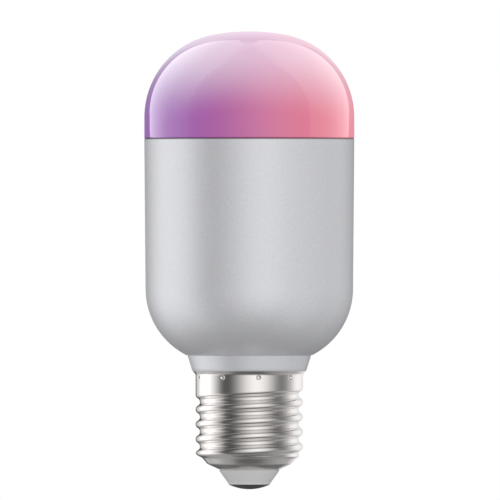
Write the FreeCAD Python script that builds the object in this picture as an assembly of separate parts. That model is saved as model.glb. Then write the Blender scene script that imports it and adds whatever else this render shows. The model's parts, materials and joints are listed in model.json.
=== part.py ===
import FreeCAD, Part
import math
import os

# Smart light bulb with an E27 screw cap, in millimetres. The origin is the tip of the centre
# contact, +Z runs up to the top of the dome and the face of the driver board looks along -Y.

V = FreeCAD.Vector

# Fits
slip_fit = 0.1              # a moulding in sheet metal, or a cup in its bore
board_fit = 0.3             # around boards, pins and wires
snap_fit = 0.15             # around the bead of the dome

# Cap
contact_radius = 5.05
contact_height = 1.15
contact_margin = 0.05       # insulator showing round the contact
stem_radius = 1.2
stem_length = 7.85          # through the insulator, to the solder of the live wire
insulator_height = 3.7
insulator_collar = 2.1      # radius of the insulator's flange past its hole
insulator_flange = 1.5
insulator_boss_radius = 3.0
sheet = 0.3                 # rolled sheet of the cap
cap_hole_radius = 7.5
cap_height = 24.0
foot_radius = 10.3
foot_rise = 1.27
step_radius = 11.5
step_rise = 1.43
shoulder_rise = 0.88
foot_bend = 1.2
step_bend = 1.5
crest_radius = 13.15
thread_pitch = 3.629
thread_depth = 1.065
thread_drop = 5.8           # from the rim down to the first groove, on the +X side
thread_strips = 6           # strips across one pitch
turn_points = 16
run_in = 0.25               # turns over which the groove fades in and out
run_out = 0.4
rim_flare = 0.7
rim_rise = 0.85
rim_bend = 0.8
dimple_count = 9
dimple_turn = 10            # degrees from the front to the nearest dimple
dimple_drop = 1.55
punch_radius = 0.55
punch_lift = 0.1

# Neck
neck_height = 3.9
neck_step = 0.1             # collar outside the rim of the cap
neck_flare = 1.2
spigot_wall = 1.5
spigot_rise = 4.2           # from the foot of the cap to the end of the spigot
band_spigot = 2.8           # upper spigot, in the plain band
ledge_radius = 8.0
ledge_depth = 1.0
ledge_rise = 0.5
sleeve_bore = 9.5
wire_slot_width = 1.6
wire_slot_depth = 1.0
wire_slot_length = 7.0

# Body
body_height = 53.0
body_step = 0.3             # body outside the top of the collar
body_top_radius = 25.7
body_taper = 0.3            # from the top of the wall down to the waist
body_shoulder = 18.25
body_wall = 2.0
ring_wall = 0.9             # locating ring of the neck in the floor of the body
seat_wall = 1.4
seat_depth = 11.9
seam_chamfer = 0.25

# Dome
dome_straight = 5.2
dome_corner = 20.5
dome_crown = 48.0
dome_wall = 1.5
skirt_wall = 1.2
bead_height = 0.4
bead_drop = 2.9
bead_width = 1.0
sealant_height = 1.0

# Heat plate and board with the LEDs
plate_thickness = 1.5
plate_rim = 6.0
boss_radius = 2.6
boss_height = 3.5
pad_thickness = 0.3
led_board_thickness = 1.2
led_board_margin = 0.7
board_screw_circle = 15.6
board_screw_radius = 1.2
board_screw_head = 2.2
board_screw_head_height = 1.4
board_screw_length = 4.5
white_led_count = 12
white_led_circle = 18.6
white_led_size = (2.8, 3.5, 0.8)
colour_led_count = 6
colour_led_circle = 11.75
colour_led_size = (5.0, 5.0, 1.5)
pocket_depth = 0.3

# Screws between body and neck
neck_screw_circle = 12.6
neck_screw_radius = 0.9
neck_screw_head = 1.6
neck_screw_head_height = 1.2
neck_screw_bite = 3.0
screw_count = 3
first_screw = 30

# Sleeve round the driver
sleeve_wall = 1.0
sleeve_tube = 7.5
sleeve_cone = 8.0
sleeve_headroom = 2.0       # under the seat of the heat plate
sleeve_radius = 17.0
rail_width = 1.0
rail_margin = 1.0

# Driver board
board_thickness = 1.6
board_back = -1.2           # its +Y face
tongue_half = 7.0
tongue_drop = 17.5          # below the seat of the sleeve
tongue_top = 13.5           # above the seat of the sleeve
board_side_fit = 1.5        # from the edge of the board to the wall of the sleeve
board_shoulder = 2.0
board_top_margin = 1.0

# Parts on the driver board
radio_width = 15.0
radio_thickness = 0.8
radio_overlap = 5.0
antenna_height = 8.0
antenna_line = 0.5
antenna_turns = 5
shield_size = (12.0, 2.4, 10.5)
shield_rise = 1.0
pin_count = 5
pin_spacing = 2.0
pin_radius = 0.32
pin_reach = 1.3             # from the driver board to the row of pins
pin_tip = 1.2
header_height = 2.5
solder_radius = 0.8
core_size = (12.0, 5.0, 12.6)
core_leg = 1.6
core_rise = 5.2             # above the shoulders of the board
centre_leg_radius = 2.2
bobbin_wall = 0.6
bobbin_flange = 0.8
winding_build = 1.1
transformer_reach = 4.8
bulk_radius = 4.0
bulk_length = 13.0
output_radius = 3.15
output_length = 11.5
capacitor_rise = 2.0
can_bead = 1.5
capacitor_inset = 8.0       # from the edge of the board to the middle of each can
lead_radius = 0.3
lead_spacing = 2.5
film_size = (9.0, 4.5, 9.0)
film_rise = 6.0
drum_radius = 3.0
drum_length = 8.0
drum_flange = 1.0
drum_rise = 0.5             # above the seat of the sleeve
fuse_radius = 1.6
fuse_length = 6.0
fuse_rise = 8.0
bridge_size = (4.8, 2.3, 4.5)
bridge_rise = 2.0
chip_size = (4.0, 1.6, 5.0)
chip_inset = 4.0            # from the edge of the board to the middle of each chip
chip_resistor_size = (3.2, 0.6, 1.6)
chip_resistor_count = 5
chip_resistor_spacing = 3.2
wire_radius = 0.45
wire_tail = 4.0             # along the driver board
wire_drop = 1.5             # straight run before a bend
lead_drop = 1.5

# Radii of the outside that follow from the cap and the dome
rim_radius = crest_radius + rim_flare
neck_foot_radius = rim_radius + neck_step
neck_top_radius = neck_foot_radius + neck_flare
body_foot_radius = neck_top_radius + body_step
body_waist_radius = body_top_radius - body_taper

# Levels up the bulb
insulator_top = contact_height + insulator_height
cap_foot = insulator_top + slip_fit
cap_rim = cap_foot + cap_height
band_top = cap_rim - rim_rise - rim_bend * math.tan(math.atan2(rim_flare, rim_rise) / 2)
first_groove = cap_rim - thread_drop
body_base = cap_rim + neck_height
body_floor = body_base + body_wall
body_top = body_base + body_height
dome_spring = body_top + dome_straight
plate_seat = body_top - seat_depth
plate_top = plate_seat + plate_rim
led_board_base = plate_top + pad_thickness
led_board_top = led_board_base + led_board_thickness
skirt_base = plate_top + sealant_height
sleeve_seat = cap_rim + ledge_rise
sleeve_shoulder = sleeve_seat + sleeve_tube + sleeve_cone
sleeve_top = plate_seat - sleeve_headroom
tongue_base = sleeve_seat - tongue_drop
shoulder_base = sleeve_seat + tongue_top
board_top = sleeve_top - board_top_margin

# Radii and faces that follow from them
thread_round = (thread_pitch ** 2 / 4 + thread_depth ** 2) / (4 * thread_depth)
band_bore = crest_radius - sheet
spigot_radius = crest_radius - thread_depth - sheet - slip_fit
band_spigot_radius = band_bore - slip_fit
spigot_bore = spigot_radius - spigot_wall
bump_radius = punch_radius + sheet
ring_radius = sleeve_bore + ring_wall
body_centre = body_waist_radius - body_shoulder
body_waist = body_base + math.sqrt(body_shoulder ** 2 - (body_foot_radius - body_centre) ** 2)
seat_bore = body_top_radius - seat_wall
skirt_radius = seat_bore - slip_fit
skirt_bore = skirt_radius - skirt_wall
dome_centre = body_top_radius - dome_corner
crown_centre = dome_spring - math.sqrt((dome_crown - dome_corner) ** 2 - dome_centre ** 2)
plate_radius = seat_bore - slip_fit
led_board_radius = skirt_bore - led_board_margin
sleeve_tube_radius = sleeve_bore - slip_fit
shoulder_half = sleeve_radius - sleeve_wall - board_side_fit
capacitor_offset = shoulder_half - capacitor_inset
chip_offset = shoulder_half - chip_inset
board_front = board_back - board_thickness
pin_row = board_front - pin_reach
radio_top = led_board_top + antenna_height
radio_base = board_top - radio_overlap
radio_back = board_back + radio_thickness


def around(count, radius, first=0):
    places = []
    for k in range(count):
        angle = math.radians(first + 360 * k / count)
        places.append((radius * math.cos(angle), radius * math.sin(angle)))
    return places


def box(x0, x1, y0, y1, z0, z1):
    return Part.makeBox(x1 - x0, y1 - y0, z1 - z0, V(x0, y0, z0))


def rod(radius, x, y, z0, z1):
    return Part.makeCylinder(radius, z1 - z0, V(x, y, z0))


def joined(pieces):
    return pieces[0].fuse(pieces[1:]).removeSplitter()


# A closed outline of (radius, height) points, turned about the axis. A step of two points is
# an arc through the first one to the second.
def turned(outline):
    here = V(outline[0][0], 0, outline[0][1])
    edges = []
    for step in outline[1:] + outline[:1]:
        if isinstance(step[0], tuple):
            middle, step = step
            end = V(step[0], 0, step[1])
            edges.append(Part.Arc(here, V(middle[0], 0, middle[1]), end).toShape())
        else:
            end = V(step[0], 0, step[1])
            edges.append(Part.makeLine(here, end))
        here = end
    return Part.Face(Part.Wire(edges)).revolve(V(), V(0, 0, 1), 360)


# An arc step about a centre, between two angles in degrees.
def swing(centre, radius, start, end):
    points = []
    for angle in ((start + end) / 2, end):
        turn = math.radians(angle)
        points.append((centre[0] + radius * math.cos(turn), centre[1] + radius * math.sin(turn)))
    return tuple(points)


# Steps along bent sheet at a depth below its outer face, which is on the right of the run.
def bent(corners, bends, depth):
    points = [V(r, 0, z) for r, z in corners]
    runs = [(b - a).normalize() for a, b in zip(points, points[1:])]
    inward = [V(-run.z, 0, run.x) for run in runs]
    start = points[0] + inward[0] * depth
    steps = [(start.x, start.z)]
    for k, bend in enumerate(bends):
        before, after = runs[k], runs[k + 1]
        both = inward[k] + inward[k + 1]
        corner = points[k + 1] + both * (2 * depth / both.dot(both))
        outward = before.x * after.z - before.z * after.x > 0
        radius = bend - depth if outward else bend + depth
        half = before.getAngle(after) / 2
        leave = corner - before * (radius * math.tan(half))
        arrive = corner + after * (radius * math.tan(half))
        middle = corner + (after - before).normalize() * (radius / math.cos(half) - radius)
        steps += [(leave.x, leave.z), ((middle.x, middle.z), (arrive.x, arrive.z))]
    end = points[-1] + inward[-1] * depth
    return steps + [(end.x, end.z)]


# Cap ------------------------------------------------------------------------------------

def centre_contact():
    ball = (contact_radius ** 2 + contact_height ** 2) / (2 * contact_height)
    middle = ball - math.sqrt(ball ** 2 - contact_radius ** 2 / 4)
    top = contact_height + stem_length
    return turned([
        (0, 0),
        ((contact_radius / 2, middle), (contact_radius, contact_height)),
        (stem_radius, contact_height),
        (stem_radius, top),
        (0, top)])


def cap_insulator():
    neck = cap_hole_radius - slip_fit
    foot = contact_radius + contact_margin
    flange = cap_hole_radius + insulator_collar
    slope = foot_rise / (foot_radius - cap_hole_radius)
    lift = (sheet + slip_fit) * math.hypot(1, slope)
    seat = cap_foot + lift + slope * (neck - cap_hole_radius)
    edge = cap_foot + lift + slope * insulator_collar
    top = edge + insulator_flange
    boss_top = contact_height + stem_length - 2 * slip_fit
    bore = stem_radius + slip_fit
    return turned([
        (bore, contact_height),
        (foot, contact_height),
        (neck, insulator_top),
        (neck, seat),
        (flange, edge),
        (flange, top),
        (insulator_boss_radius, top),
        (insulator_boss_radius, boss_top),
        (bore, boss_top)])


# Depth of the rolled groove below the crest, at an axial distance from its centre and a depth
# into the sheet. The rounding of the root grows through the sheet and that of the crest shrinks.
def groove(distance, depth):
    distance = abs(distance)
    root = thread_round + depth
    if distance < root * thread_pitch / 4 / thread_round:
        return thread_depth - thread_round + math.sqrt(root ** 2 - distance ** 2) - depth
    tip = thread_round - depth
    return tip - math.sqrt(tip ** 2 - (thread_pitch / 2 - distance) ** 2)


def ease(part):
    part = min(max(part, 0), 1)
    return part * part * (3 - 2 * part)


# The threaded barrel of the cap at a depth into its sheet, as one solid. It is sewn from
# strips between helices, one turn long, and starts and ends plain so that the ends close.
def threaded_barrel(depth):
    barrel = crest_radius - depth
    first_edge = first_groove + (run_in + 0.5) * thread_pitch
    turns = math.ceil((first_edge - cap_foot) / thread_pitch) - 1
    last_turn = turns - run_in
    last_edge = first_edge - (turns + 1) * thread_pitch

    def helix(distance, first_turn):
        points = []
        for k in range(turn_points + 1):
            turn = first_turn + k / turn_points
            fade = ease((turn + run_in) / run_in) * ease((last_turn - turn) / run_out)
            radius = barrel - groove(distance, depth) * fade
            angle = -2 * math.pi * turn
            height = first_groove - thread_pitch * turn - distance
            points.append(V(radius * math.cos(angle), radius * math.sin(angle), height))
        curve = Part.BSplineCurve()
        curve.interpolate(points)
        return curve.toShape()

    def ring(height):
        circle = Part.makeCircle(barrel, V(0, 0, height), V(0, 0, -1))
        return circle.rotate(V(0, 0, height), V(0, 0, 1), 360 * run_in)

    faces = []
    across = [thread_pitch * (k / thread_strips - 0.5) for k in range(thread_strips + 1)]
    for turn in range(turns):
        edges = [helix(distance, turn - run_in) for distance in across]
        if turn == 0:
            faces.append(Part.makeRuledSurface(ring(first_edge), edges[0]))
        faces += [Part.makeRuledSurface(upper, lower) for upper, lower in zip(edges, edges[1:])]
    end_ring = ring(last_edge)
    faces.append(Part.makeRuledSurface(edges[-1], end_ring))
    faces.append(Part.Face(Part.Wire(end_ring)))
    band = Part.makeCylinder(barrel, band_top - first_edge, V(0, 0, first_edge))
    band.rotate(V(), V(0, 0, 1), 360 * run_in)
    faces += [face for face in band.Faces if face.CenterOfMass.z > first_edge + sheet]
    skin = Part.Compound(faces)
    skin.sewShape()
    return Part.Solid(skin.Shells[0])


# Everything within the outer face of the cap, or within the face below it at a depth.
def cap_body(depth):
    corners = [
        (cap_hole_radius, cap_foot),
        (foot_radius, cap_foot + foot_rise),
        (step_radius, cap_foot + foot_rise + step_rise),
        (crest_radius - sheet / 6, cap_foot + foot_rise + step_rise + shoulder_rise),
        (crest_radius + 2 * sheet, cap_rim - thread_drop)]
    foot = bent(corners, [foot_bend, step_bend, thread_round], depth)
    foot = [(0, foot[0][1])] + foot + [(foot[-1][0], cap_rim), (0, cap_rim)]
    rim_corner = (crest_radius, cap_rim - rim_rise)
    rim = bent([(crest_radius, band_top - sheet), rim_corner, (rim_radius, cap_rim)], [rim_bend], depth)
    rim = [(0, band_top)] + [(crest_radius - depth, band_top)] + rim[2:] + [(0, rim[-1][1])]
    return threaded_barrel(depth).common(turned(foot)).fuse(turned(rim))


def screw_shell():
    outside = cap_body(0)
    inside = cap_body(sheet)
    for x, y in around(dimple_count, crest_radius + punch_lift, dimple_turn - 90):
        place = V(x, y, cap_rim - dimple_drop)
        outside = outside.cut(Part.makeSphere(punch_radius, place))
        inside = inside.cut(Part.makeSphere(bump_radius, place))
    hole = rod(cap_hole_radius, 0, 0, 0, cap_foot + foot_rise)
    return outside.cut([inside, hole])


# Neck and body ---------------------------------------------------------------------------

def neck_collar():
    groove_centre = cap_rim - dimple_drop
    groove_radius = crest_radius + punch_lift - bump_radius - slip_fit
    spigot_base = cap_foot + spigot_rise
    collar = turned([
        (spigot_bore, spigot_base),
        (spigot_radius, spigot_base),
        (spigot_radius, cap_rim - band_spigot),
        (band_spigot_radius, cap_rim - band_spigot),
        (band_spigot_radius, groove_centre - bump_radius - slip_fit),
        (groove_radius, groove_centre - punch_radius),
        (groove_radius, groove_centre + punch_radius),
        (band_spigot_radius, groove_centre + bump_radius + slip_fit),
        (band_spigot_radius, cap_rim),
        (neck_foot_radius, cap_rim),
        (neck_top_radius, body_base),
        (ring_radius, body_base),
        (ring_radius, body_floor),
        (sleeve_bore, body_floor),
        (sleeve_bore, sleeve_seat),
        (ledge_radius, sleeve_seat),
        (ledge_radius, sleeve_seat - ledge_depth),
        (spigot_bore, sleeve_seat - ledge_depth)])
    half = wire_slot_width / 2
    slot = box(-half, half, spigot_radius - wire_slot_depth, spigot_radius + wire_slot_depth,
               spigot_base, spigot_base + wire_slot_length)
    holes = [rod(neck_screw_radius, x, y, body_base - neck_screw_bite, body_base)
             for x, y in around(screw_count, neck_screw_circle, first_screw)]
    return collar.cut([slot] + holes)


def neck_screws():
    screws = []
    for x, y in around(screw_count, neck_screw_circle, first_screw):
        shank = rod(neck_screw_radius, x, y, body_base - neck_screw_bite, body_floor)
        head = rod(neck_screw_head, x, y, body_floor, body_floor + neck_screw_head_height)
        recess = rod(neck_screw_radius / 2, x, y, body_floor + neck_screw_head_height / 2,
                     body_floor + neck_screw_head_height)
        screws.append(joined([shank, head]).cut(recess))
    return Part.Compound(screws)


def body_shell():
    centre = (body_centre, body_waist)
    start = math.degrees(math.atan2(body_base - body_waist, body_foot_radius - body_centre))
    inner = body_shoulder - body_wall
    floor = math.degrees(math.asin((body_floor - body_waist) / inner))
    taper = (body_top_radius - body_waist_radius) / (body_top - body_waist)
    seat_edge = body_waist_radius - body_wall + taper * (plate_seat - body_waist)
    bead = body_top - bead_drop
    half = bead_width / 2 + snap_fit
    shell = turned([
        (ring_radius + slip_fit / 2, body_base),
        (body_foot_radius, body_base),
        swing(centre, body_shoulder, start, 0),
        (body_top_radius, body_top - seam_chamfer),
        (body_top_radius - seam_chamfer, body_top),
        (seat_bore, body_top),
        (seat_bore, bead + half),
        (seat_bore + bead_height, bead + half - bead_height / 2),
        (seat_bore + bead_height, bead - half + bead_height / 2),
        (seat_bore, bead - half),
        (seat_bore, plate_seat),
        (seat_edge, plate_seat),
        (body_waist_radius - body_wall, body_waist),
        swing(centre, inner, 0, floor),
        (ring_radius + slip_fit / 2, body_floor)])
    holes = [rod(neck_screw_radius + slip_fit, x, y, body_base, body_floor)
             for x, y in around(screw_count, neck_screw_circle, first_screw)]
    return shell.cut(holes)


# Dome ------------------------------------------------------------------------------------

def diffuser_dome():
    corner = (dome_centre, dome_spring)
    lean = math.degrees(math.atan2(dome_spring - crown_centre, dome_centre))
    bead = body_top - bead_drop
    half = bead_width / 2
    inner_corner = dome_corner - dome_wall
    inner_crown = dome_crown - dome_wall
    return turned([
        (0, crown_centre + inner_crown),
        swing((0, crown_centre), inner_crown, 90, lean),
        swing(corner, inner_corner, lean, 0),
        (body_top_radius - dome_wall, body_top + dome_wall + skirt_wall),
        (skirt_bore, body_top + dome_wall),
        (skirt_bore, skirt_base),
        (skirt_radius, skirt_base),
        (skirt_radius, bead - half),
        (skirt_radius + bead_height, bead - half + bead_height / 2),
        (skirt_radius + bead_height, bead + half - bead_height / 2),
        (skirt_radius, bead + half),
        (skirt_radius, body_top),
        (body_top_radius - seam_chamfer, body_top),
        (body_top_radius, body_top + seam_chamfer),
        (body_top_radius, dome_spring),
        swing(corner, dome_corner, 0, lean),
        swing((0, crown_centre), dome_crown, lean, 90)])


def dome_sealant():
    return turned([
        (skirt_bore, plate_top),
        (skirt_radius, plate_top),
        (skirt_radius, skirt_base),
        (skirt_bore, skirt_base)])


# Heat plate and LED board ----------------------------------------------------------------

# Openings for the radio board and the row of pins, through a plate between two heights.
def board_slots(z0, z1):
    half = radio_width / 2 + board_fit
    radio = box(-half, half, board_back - board_fit, radio_back + board_fit, z0, z1)
    half = pin_spacing * (pin_count - 1) / 2 + pin_radius + board_fit
    reach = pin_radius + board_fit
    pins = box(-half, half, pin_row - reach, pin_row + reach, z0, z1)
    return [radio, pins]


def screw_holes(radius, z0, z1):
    places = around(screw_count, board_screw_circle, first_screw)
    return [rod(radius, x, y, z0, z1) for x, y in places]


def heat_plate():
    under = plate_top - plate_thickness
    cup = turned([
        (0, under),
        (plate_radius - plate_thickness, under),
        (plate_radius - plate_thickness, plate_seat),
        (plate_radius, plate_seat),
        (plate_radius, plate_top),
        (0, plate_top)])
    bosses = screw_holes(boss_radius, under - boss_height, under)
    tapped = screw_holes(board_screw_radius, led_board_top - board_screw_length, plate_top)
    return joined([cup] + bosses).cut(board_slots(under, plate_top) + tapped)


def board_disc(z0, z1):
    disc = rod(led_board_radius, 0, 0, z0, z1)
    holes = screw_holes(board_screw_radius + slip_fit, z0, z1)
    return disc.cut(board_slots(z0, z1)[:1] + holes)


def thermal_pad():
    return board_disc(plate_top, led_board_base).cut(board_slots(plate_top, led_board_base)[1])


def pin_rods(radius, z0, z1):
    rods = []
    for k in range(pin_count):
        x = pin_spacing * (k - (pin_count - 1) / 2)
        rods.append(rod(radius, x, pin_row, z0, z1))
    return rods


def led_board():
    holes = pin_rods(pin_radius + slip_fit, led_board_base, led_board_top)
    return board_disc(led_board_base, led_board_top).cut(holes)


def board_screws():
    screws = []
    for x, y in around(screw_count, board_screw_circle, first_screw):
        shank = rod(board_screw_radius, x, y, led_board_top - board_screw_length, led_board_top)
        top = led_board_top + board_screw_head_height
        head = rod(board_screw_head, x, y, led_board_top, top)
        recess = rod(board_screw_radius * 0.6, x, y, top - board_screw_head_height / 2, top)
        screws.append(joined([shank, head]).cut(recess))
    return Part.Compound(screws)


# One LED package on the board, at a place and facing outward from the axis.
def led_at(x, y, size, pocket):
    long, wide, tall = size
    shape = box(-long / 2, long / 2, -wide / 2, wide / 2, led_board_top, led_board_top + tall)
    top = led_board_top + tall
    well = pocket(top - pocket_depth, top)
    angle = math.degrees(math.atan2(y, x))
    body = shape.cut(well)
    for piece in (body, well):
        piece.rotate(V(), V(0, 0, 1), angle)
        piece.translate(V(x, y, 0))
    return body, well


def white_led_set():
    long, wide = white_led_size[0] * 0.36, white_led_size[1] * 0.36

    def pocket(z0, z1):
        return box(-long, long, -wide, wide, z0, z1)

    places = around(white_led_count, white_led_circle, 180 / white_led_count)
    return [led_at(x, y, white_led_size, pocket) for x, y in places]


def colour_led_set():
    def pocket(z0, z1):
        return rod(colour_led_size[0] * 0.4, 0, 0, z0, z1)

    places = around(colour_led_count, colour_led_circle, 0)
    return [led_at(x, y, colour_led_size, pocket) for x, y in places]


# Driver ----------------------------------------------------------------------------------

def driver_sleeve():
    tube = sleeve_tube_radius
    tube_top = sleeve_seat + sleeve_tube
    sleeve = turned([
        (tube - sleeve_wall, sleeve_seat),
        (tube, sleeve_seat),
        (tube, tube_top),
        (sleeve_radius, sleeve_shoulder),
        (sleeve_radius, sleeve_top),
        (sleeve_radius - sleeve_wall, sleeve_top),
        (sleeve_radius - sleeve_wall, sleeve_shoulder),
        (tube - sleeve_wall, tube_top)])
    middle = sleeve_radius - sleeve_wall / 2
    base, top = sleeve_shoulder + rail_margin, sleeve_top - rail_margin
    rails = []
    for y0 in (board_front - board_fit - rail_width, board_back + board_fit):
        y1 = y0 + rail_width
        reach = math.sqrt(middle ** 2 - max(abs(y0), abs(y1)) ** 2)
        for side in (-1, 1):
            x0, x1 = sorted((side * (shoulder_half - rail_width), side * reach))
            rails.append(box(x0, x1, y0, y1, base, top))
    return joined([sleeve] + rails)


def driver_board():
    outline = [
        (-tongue_half, tongue_base), (tongue_half, tongue_base),
        (tongue_half, shoulder_base), (shoulder_half, shoulder_base + board_shoulder),
        (shoulder_half, board_top), (-shoulder_half, board_top),
        (-shoulder_half, shoulder_base + board_shoulder), (-tongue_half, shoulder_base)]
    points = [V(x, board_front, z) for x, z in outline + outline[:1]]
    return Part.Face(Part.makePolygon(points)).extrude(V(0, board_thickness, 0))


def radio_module():
    half = radio_width / 2
    return box(-half, half, board_back, radio_back, radio_base, radio_top)


def radio_shield():
    wide, deep, tall = shield_size
    base = radio_base + shield_rise
    return box(-wide / 2, wide / 2, radio_back, radio_back + deep, base, base + tall)


# Meander along the top edge of the radio board, over the LED board.
def radio_antenna():
    top = radio_top - antenna_line
    base = led_board_top + antenna_height / 4
    width = (radio_width - 2 * antenna_line) / (2 * antenna_turns)
    lines = []
    for k in range(2 * antenna_turns):
        x = -radio_width / 2 + antenna_line + width * k
        lines.append(box(x, x + antenna_line, radio_back, radio_back + slip_fit, base, top))
        if k < 2 * antenna_turns - 1:
            z = top - antenna_line if k % 2 == 0 else base
            lines.append(box(x, x + width + antenna_line, radio_back, radio_back + slip_fit,
                             z, z + antenna_line))
    return joined(lines)


def header_block():
    half = pin_spacing * pin_count / 2
    block = box(-half, half, pin_row - pin_reach, board_front, board_top - header_height, board_top)
    return block.cut(pin_rods(pin_radius, board_top - header_height, board_top))


def header_pins():
    return Part.Compound(pin_rods(pin_radius, board_top - header_height, led_board_top + pin_tip))


def pin_solder():
    beads = []
    for pin in pin_rods(pin_radius, led_board_top, led_board_top + pin_tip):
        foot = pin.BoundBox.Center
        cone = Part.makeCone(solder_radius, pin_radius + slip_fit, pin_tip / 1.5,
                             V(foot.x, foot.y, led_board_top))
        beads.append(cone.cut(pin))
    return Part.Compound(beads)


# The transformer stands off the front of the board, with its coil upright.
transformer_axis = board_front - transformer_reach
transformer_base = shoulder_base + core_rise


def transformer_core():
    wide, deep, tall = core_size
    y0, y1 = transformer_axis - deep / 2, transformer_axis + deep / 2
    base, top = transformer_base, transformer_base + tall
    frame = box(-wide / 2, wide / 2, y0, y1, base, top)
    window = box(core_leg - wide / 2, wide / 2 - core_leg, y0, y1, base + core_leg, top - core_leg)
    leg = rod(centre_leg_radius, 0, transformer_axis, base + core_leg, top - core_leg)
    return joined([frame.cut(window), leg])


def transformer_bobbin():
    wide, deep, tall = core_size
    half = wide / 2 - core_leg - slip_fit
    base, top = transformer_base + core_leg, transformer_base + tall - core_leg
    y0, y1 = transformer_axis - half, board_front
    low = box(-half, half, y0, y1, base, base + bobbin_flange)
    high = box(-half, half, y0, y1, top - bobbin_flange, top)
    tube = rod(centre_leg_radius + bobbin_wall, 0, transformer_axis, base, top)
    bore = rod(centre_leg_radius + slip_fit / 2, 0, transformer_axis, base, top)
    return joined([low, high, tube]).cut(bore)


def transformer_winding():
    base = transformer_base + core_leg + bobbin_flange
    top = transformer_base + core_size[2] - core_leg - bobbin_flange
    inner = centre_leg_radius + bobbin_wall
    coil = rod(inner + winding_build, 0, transformer_axis, base, top)
    return coil.cut(rod(inner, 0, transformer_axis, base, top))


# A can with a rolled groove near its foot, upright behind the board.
def capacitor_can(radius, length, x):
    base = shoulder_base + capacitor_rise + board_shoulder
    y = board_back + radius + slip_fit
    can = turned([
        (0, base),
        (radius - lead_radius, base),
        (radius, base + lead_radius),
        (radius, base + can_bead),
        (radius - lead_radius, base + can_bead + lead_radius),
        (radius, base + can_bead + 2 * lead_radius),
        (radius, base + length - lead_radius),
        (radius - lead_radius, base + length),
        (0, base + length)])
    can.translate(V(x, y, 0))
    return can


def bulk_capacitor():
    return capacitor_can(bulk_radius, bulk_length, -capacitor_offset)


def output_capacitor():
    return capacitor_can(output_radius, output_length, capacitor_offset)


# A round wire along straight runs, with its corners rounded.
def wire_run(points, radius, bend):
    edges = []
    here = points[0]
    for before, corner, after in zip(points, points[1:], points[2:]):
        come = (corner - before).normalize()
        leave = (after - corner).normalize()
        half = come.getAngle(leave) / 2
        reach = bend * math.tan(half)
        start, end = corner - come * reach, corner + leave * reach
        middle = corner + (leave - come).normalize() * (bend / math.cos(half) - bend)
        edges += [Part.makeLine(here, start), Part.Arc(start, middle, end).toShape()]
        here = end
    edges.append(Part.makeLine(here, points[-1]))
    path = Part.Wire(edges)
    heading = points[1] - points[0]
    return path.makePipe(Part.Face(Part.Wire(Part.makeCircle(radius, points[0], heading))))


def capacitor_leads():
    leads = []
    base = shoulder_base + capacitor_rise + board_shoulder
    for radius, x in ((bulk_radius, -capacitor_offset), (output_radius, capacitor_offset)):
        y = board_back + radius + slip_fit
        for side in (-1, 1):
            across = x + side * lead_spacing / 2
            foot = base - lead_drop
            points = [V(across, y, base), V(across, y, foot), V(across, board_back, foot)]
            leads.append(wire_run(points, lead_radius, 2 * lead_radius))
    return Part.Compound(leads)


def film_capacitor():
    wide, deep, tall = film_size
    base = tongue_base + film_rise
    block = box(-wide / 2, wide / 2, board_back, board_back + deep, base, base + tall)
    return block.makeFillet(0.6, [edge for edge in block.Edges if edge.BoundBox.YMax > board_back + 0.1])


def filter_inductor():
    base = sleeve_seat + drum_rise - ledge_depth
    y = board_back + drum_radius + slip_fit
    drum = turned([
        (0, base),
        (drum_radius, base),
        (drum_radius, base + drum_flange),
        (drum_radius * 0.85, base + drum_flange),
        (drum_radius * 0.85, base + drum_length - drum_flange),
        (drum_radius, base + drum_length - drum_flange),
        (drum_radius, base + drum_length),
        (0, base + drum_length)])
    drum.translate(V(0, y, 0))
    return drum


def fuse_resistor():
    base = tongue_base + fuse_rise
    y = board_front - fuse_radius - slip_fit
    body = rod(fuse_radius, 0, y, base, base + fuse_length)
    body = body.makeFillet(lead_radius, [edge for edge in body.Edges if edge.Closed])
    low = [V(0, y, base), V(0, y, base - lead_drop), V(0, board_front, base - lead_drop)]
    top = base + fuse_length
    high = [V(0, y, top), V(0, y, top + lead_drop), V(0, board_front, top + lead_drop)]
    return joined([body] + [wire_run(points, lead_radius, 2 * lead_radius) for points in (low, high)])


# A flat package on the front of the driver board.
def package(size, x, base):
    wide, deep, tall = size
    return box(x - wide / 2, x + wide / 2, board_front - deep, board_front, base, base + tall)


def bridge_rectifier():
    return package(bridge_size, 0, sleeve_seat + bridge_rise)


def driver_chip():
    return package(chip_size, chip_offset, transformer_base)


def chip_resistors():
    top = board_top - header_height - chip_resistor_size[2]
    return Part.Compound([
        package(chip_resistor_size, -chip_offset, top - chip_resistor_spacing * k)
        for k in range(chip_resistor_count)])


# Wires -----------------------------------------------------------------------------------

def live_wire():
    start = contact_height + stem_length
    y = board_front - wire_radius - slip_fit
    points = [
        V(0, 0, start),
        V(0, 0, start + wire_drop),
        V(0, y, tongue_base + wire_radius),
        V(0, y, tongue_base + wire_tail)]
    return wire_run(points, wire_radius, 3 * wire_radius)


# From the back of the tongue, under the end of the spigot and up its slot to the thread.
def neutral_wire():
    back = board_back + wire_radius + slip_fit
    under = cap_foot + spigot_rise - wire_radius - board_fit / 2
    out = spigot_radius - wire_slot_depth / 2
    points = [
        V(0, back, tongue_base + wire_tail),
        V(0, back, tongue_base + wire_drop),
        V(0, spigot_bore - wire_tail, under),
        V(0, out, under),
        V(0, out, under + wire_slot_length - wire_drop)]
    return wire_run(points, wire_radius, 1.4 * wire_radius)


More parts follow.
